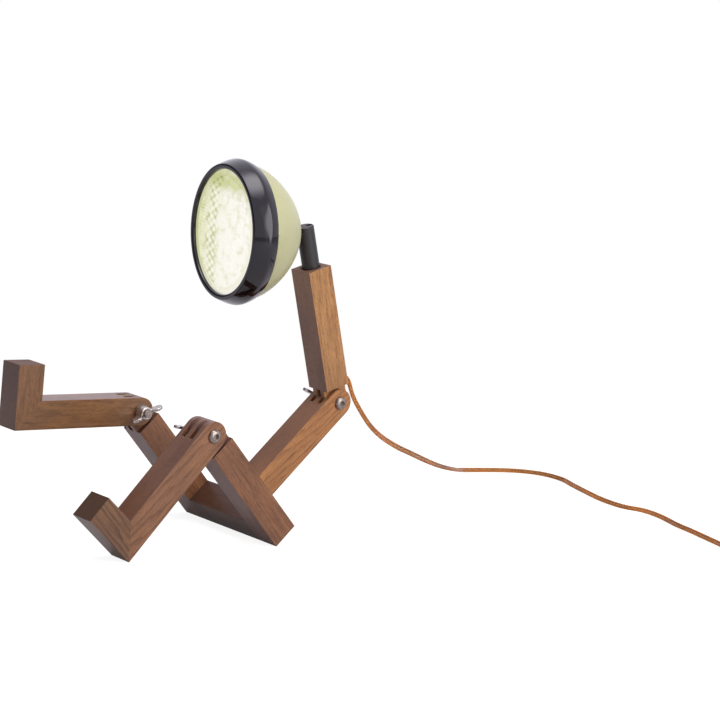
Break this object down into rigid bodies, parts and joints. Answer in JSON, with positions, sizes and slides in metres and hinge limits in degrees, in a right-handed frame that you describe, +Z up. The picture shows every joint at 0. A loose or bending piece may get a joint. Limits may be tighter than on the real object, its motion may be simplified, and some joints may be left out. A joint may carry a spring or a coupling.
{
  "type": "desk lamp",
  "caption": "Seated figure desk lamp: jointed hardwood beams with finger hinges and wing nuts, a round prismatic headlamp on a swivelling post, and a clear cord with a rocker switch and plug.",
  "frame": {"origin": "centre of the lamp's bounding box without the free cord, at the level of the table that the seat's edge and the left heel rest on", "axes": "+Z up, the figure faces -Y, +X is the figure's left"},
  "size_m": [0.4179, 0.6409, 0.2902],
  "materials": {
    "walnut": "oiled",
    "beech": "plain",
    "nickel": "dull nickel plate",
    "black_steel": "satin black",
    "black_rubber": "matt",
    "cream_paint": "satin",
    "black_enamel": "gloss",
    "lens_glass": "moulded",
    "reflector": "polished",
    "white_plastic": "satin",
    "bulb_glass": "frosted",
    "wire_pvc": "gloss",
    "clear_cord": "clear over copper",
    "black_plastic": "satin",
    "grey_plastic": "satin",
    "plug_brass": "nickel plated"
  },
  "bodies": {
    "hips": {"hip_crosspiece": "walnut", "thigh_left": "walnut", "thigh_right": "walnut", "lower_torso": "walnut", "hip_dowels": "beech", "waist_bolt": "nickel", "waist_washer": "nickel", "cord_lead": "clear_cord", "switch_base": "black_plastic", "switch_cover": "black_plastic", "switch_sleeves": "black_rubber", "cord_tail": "clear_cord", "cord_coil": "clear_cord", "coil_tie": "black_rubber", "cord_end": "clear_cord", "plug_sleeve": "black_rubber", "plug_body": "black_plastic", "plug_pins": "plug_brass"},
    "left_leg": {"shin_left": "walnut", "foot_left": "walnut", "foot_dowels_left": "beech", "knee_bolt_left": "nickel", "knee_washer_left": "nickel"},
    "right_leg": {"shin_right": "walnut", "foot_right": "walnut", "foot_dowels_right": "beech", "knee_bolt_right": "nickel", "knee_washer_right": "nickel"},
    "torso": {"upper_torso": "walnut", "neck_bush": "black_rubber", "cord_grommet": "black_rubber", "torso_lead": "clear_cord"},
    "neck": {"neck_post": "black_steel", "neck_tongue": "black_steel"},
    "head": {"head_clevis": "black_steel", "tilt_pin": "nickel", "clevis_nut": "nickel", "shell": "cream_paint", "bezel": "black_enamel", "lens": "lens_glass", "lens_gasket": "black_rubber", "reflector": "reflector", "lamp_holder": "white_plastic", "led_bulb": "bulb_glass", "head_wires": "wire_pvc"},
    "left_wing_nut": {"wing_nut_left": "nickel"},
    "right_wing_nut": {"wing_nut_right": "nickel"},
    "waist_wing_nut": {"wing_nut_waist": "nickel"},
    "rocker": {"switch_rocker": "grey_plastic"}
  },
  "joints": [
    {"name": "waist", "type": "hinge", "parent": "hips", "child": "torso", "pos_m": [0, 0.13036, 0.09864], "axis": [1, 0, 0], "range_deg": [-95, 20], "deforming": ["cord_lead"]},
    {"name": "left_knee", "type": "hinge", "parent": "hips", "child": "left_leg", "pos_m": [0.048, -0.02856, 0.09001], "axis": [1, 0, 0], "range_deg": [-190, 3]},
    {"name": "right_knee", "type": "hinge", "parent": "hips", "child": "right_leg", "pos_m": [-0.048, -0.02856, 0.09001], "axis": [1, 0, 0], "range_deg": [-92, 50]},
    {"name": "neck_swivel", "type": "hinge", "parent": "torso", "child": "neck", "pos_m": [0, 0.09827, 0.20699], "axis": [0, -0.284, 0.9588], "range_deg": [-160, 160]},
    {"name": "head_tilt", "type": "hinge", "parent": "neck", "child": "head", "pos_m": [-0.00151, 0.07994, 0.23462], "axis": [0.9882, -0.1467, -0.0435], "range_deg": [-45, 26]},
    {"name": "left_wing_nut_turn", "type": "hinge", "parent": "left_leg", "child": "left_wing_nut", "pos_m": [0.0353, -0.02856, 0.09001], "axis": [-1, 0, 0], "range_deg": [-120, 720]},
    {"name": "right_wing_nut_turn", "type": "hinge", "parent": "right_leg", "child": "right_wing_nut", "pos_m": [-0.0353, -0.02856, 0.09001], "axis": [1, 0, 0], "range_deg": [-120, 720]},
    {"name": "waist_wing_nut_turn", "type": "hinge", "parent": "hips", "child": "waist_wing_nut", "pos_m": [-0.0127, 0.13036, 0.09864], "axis": [-1, 0, 0], "range_deg": [-120, 720]},
    {"name": "switch_press", "type": "hinge", "parent": "hips", "child": "rocker", "pos_m": [0.253, 0.388, 0.0118], "axis": [0, 1, 0], "range_deg": [0, 12]}
  ]
}
